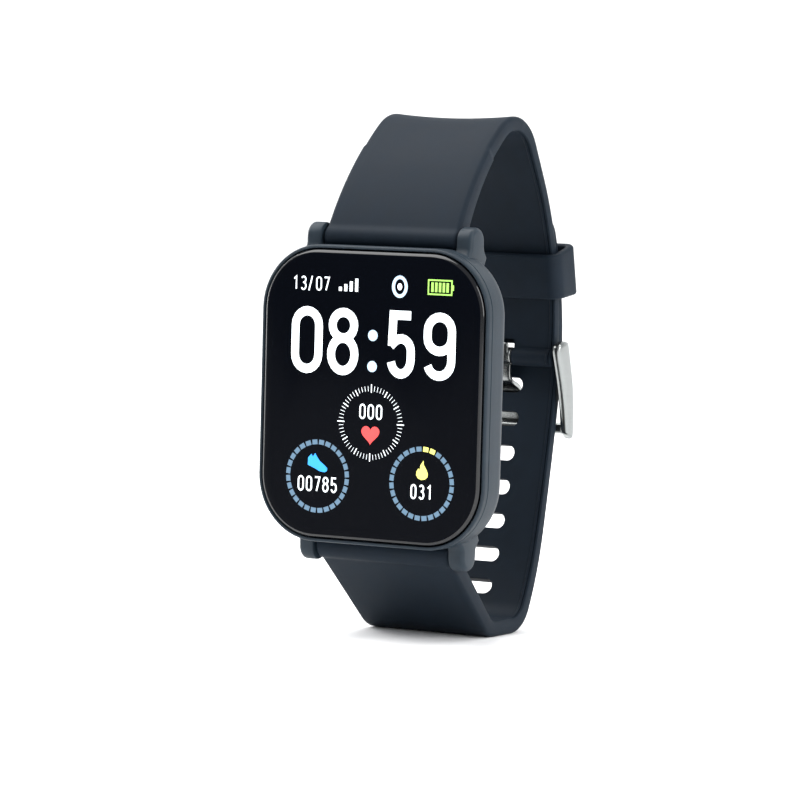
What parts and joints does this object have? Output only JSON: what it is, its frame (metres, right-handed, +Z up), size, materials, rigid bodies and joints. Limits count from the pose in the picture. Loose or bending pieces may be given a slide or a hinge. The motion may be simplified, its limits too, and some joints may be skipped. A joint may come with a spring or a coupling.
{
  "type": "smartwatch",
  "caption": "Square smartwatch with a rounded case and a silicone strap with a sprung-bar buckle, keeper and slotted tail, standing closed on its strap.",
  "frame": {"origin": "middle of the flat under the lower strap that the closed watch stands on", "axes": "+Z up, the display faces -Y, +X to the viewer's right, spring bars and hinge axes along X"},
  "size_m": [0.0376, 0.042, 0.0763],
  "materials": {
    "case": "satin moulded",
    "glass": "polished, near-black tinted cover glass",
    "seal": "matt adhesive gasket",
    "display": "lit panel",
    "flex": "polyimide",
    "inner_plastic": "moulded",
    "board": "solder mask",
    "chip": "moulded package",
    "shield": "stamped, tin plated",
    "steel": "turned",
    "gold": "gold plated",
    "battery": "foil pouch",
    "tungsten": "sintered",
    "back_plastic": "satin moulded",
    "led": "clear epoxy",
    "window": "polished dark lens",
    "magnet": "nickel plated",
    "silicone": "soft-touch moulded silicone",
    "buckle": "polished"
  },
  "bodies": {
    "case": {"mid_frame": "case", "cover_glass": "glass", "display_gasket": "seal", "display_panel": "display", "display_flex": "flex", "inner_tray": "inner_plastic", "main_board": "board", "processor_chip": "chip", "memory_chip": "chip", "motion_sensor": "chip", "radio_chip": "chip", "shield_can": "shield", "board_screws": "steel", "antenna": "gold", "battery": "battery", "motor_can": "shield", "motor_shaft": "steel", "back_cover": "back_plastic", "back_seal": "seal", "sensor_board": "board", "sensor_leds": "led", "photodiode": "chip", "sensor_window": "window", "charge_contacts": "gold", "charge_magnets": "magnet", "upper_bar_tube": "steel", "upper_bar_spring": "steel", "lower_bar_tube": "steel", "lower_bar_spring": "steel"},
    "upper_strap": {"upper_strap": "silicone", "buckle_bar_tube": "steel", "buckle_bar_spring": "steel"},
    "lower_strap": {"lower_strap": "silicone"},
    "keeper": {"keeper": "silicone"},
    "buckle_frame": {"buckle_frame": "buckle"},
    "buckle_tongue": {"buckle_tongue": "buckle"},
    "motor_weight": {"motor_weight": "tungsten"},
    "upper_bar_tip_left": {"upper_bar_tip_left": "steel"},
    "upper_bar_tip_right": {"upper_bar_tip_right": "steel"},
    "lower_bar_tip_left": {"lower_bar_tip_left": "steel"},
    "lower_bar_tip_right": {"lower_bar_tip_right": "steel"},
    "buckle_bar_tip_left": {"buckle_bar_tip_left": "steel"},
    "buckle_bar_tip_right": {"buckle_bar_tip_right": "steel"}
  },
  "joints": [
    {"name": "upper_strap_hinge", "type": "hinge", "parent": "case", "child": "upper_strap", "pos_m": [0, -0.01731, 0.0582], "axis": [1, 0, 0], "range_deg": [0, 45], "deforming": ["lower_strap"]},
    {"name": "lower_strap_hinge", "type": "hinge", "parent": "case", "child": "lower_strap", "pos_m": [0, -0.01731, 0.013], "axis": [1, 0, 0], "range_deg": [-30, 0], "deforming": ["lower_strap"]},
    {"name": "keeper_slide", "type": "hinge", "parent": "upper_strap", "child": "keeper", "pos_m": [0, -0.03193, 0.04349], "axis": [1, 0, 0], "range_deg": [-6.5, 16], "deforming": ["lower_strap"]},
    {"name": "buckle_hinge", "type": "hinge", "parent": "upper_strap", "child": "buckle_frame", "pos_m": [0, 0.0139, 0.04045], "axis": [1, 0, 0], "range_deg": [0, 75], "deforming": ["lower_strap"]},
    {"name": "tongue_hinge", "type": "hinge", "parent": "buckle_frame", "child": "buckle_tongue", "pos_m": [0, 0.0139, 0.04045], "axis": [1, 0, 0], "range_deg": [0, 45], "deforming": ["lower_strap"]},
    {"name": "motor_spin", "type": "hinge", "parent": "case", "child": "motor_weight", "pos_m": [0.0098, -0.01981, 0.0261], "axis": [0, 1, 0], "continuous": true},
    {"name": "upper_bar_left_press", "type": "slide", "parent": "case", "child": "upper_bar_tip_left", "axis": [1, 0, 0], "range_m": [0, 0.0014], "stiffness_N_per_m": 500, "springref_m": -0.001, "deforming": ["upper_bar_spring"]},
    {"name": "upper_bar_right_press", "type": "slide", "parent": "case", "child": "upper_bar_tip_right", "axis": [-1, 0, 0], "range_m": [0, 0.0014], "stiffness_N_per_m": 500, "springref_m": -0.001, "deforming": ["upper_bar_spring"]},
    {"name": "lower_bar_left_press", "type": "slide", "parent": "case", "child": "lower_bar_tip_left", "axis": [1, 0, 0], "range_m": [0, 0.0014], "stiffness_N_per_m": 500, "springref_m": -0.001, "deforming": ["lower_bar_spring"]},
    {"name": "lower_bar_right_press", "type": "slide", "parent": "case", "child": "lower_bar_tip_right", "axis": [-1, 0, 0], "range_m": [0, 0.0014], "stiffness_N_per_m": 500, "springref_m": -0.001, "deforming": ["lower_bar_spring"]},
    {"name": "buckle_bar_left_press", "type": "slide", "parent": "upper_strap", "child": "buckle_bar_tip_left", "axis": [1, 0, 0], "range_m": [0, 0.001], "stiffness_N_per_m": 500, "springref_m": -0.001, "deforming": ["buckle_bar_spring"]},
    {"name": "buckle_bar_right_press", "type": "slide", "parent": "upper_strap", "child": "buckle_bar_tip_right", "axis": [-1, 0, 0], "range_m": [0, 0.001], "stiffness_N_per_m": 500, "springref_m": -0.001, "deforming": ["buckle_bar_spring"]}
  ]
}
